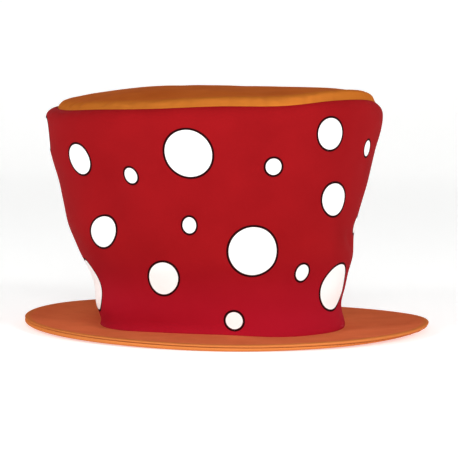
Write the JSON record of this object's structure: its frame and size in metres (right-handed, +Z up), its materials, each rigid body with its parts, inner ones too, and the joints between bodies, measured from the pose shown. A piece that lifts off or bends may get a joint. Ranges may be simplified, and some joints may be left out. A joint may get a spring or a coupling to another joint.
{
  "type": "giant clown hat",
  "caption": "Oversized soft top hat with a padded polka-dot crown that widens upwards, a domed satin top and a round padded satin brim.",
  "frame": {"origin": "on the surface that the brim rests on, under the middle of the whole hat", "axes": "+Z up through the crown, +X towards the wearer's left, -Y to the front, which is the side that the picture shows"},
  "size_m": [0.343, 0.343, 0.2059],
  "materials": {
    "dotted_cloth": "matt red printed cloth on foam, with white polka dots outlined in black",
    "orange_satin": "soft orange satin on foam"
  },
  "bodies": {
    "root": {"crown_wall": "dotted_cloth", "crown_top": "orange_satin", "brim_top": "orange_satin", "brim_under": "orange_satin"}
  },
  "joints": []
}
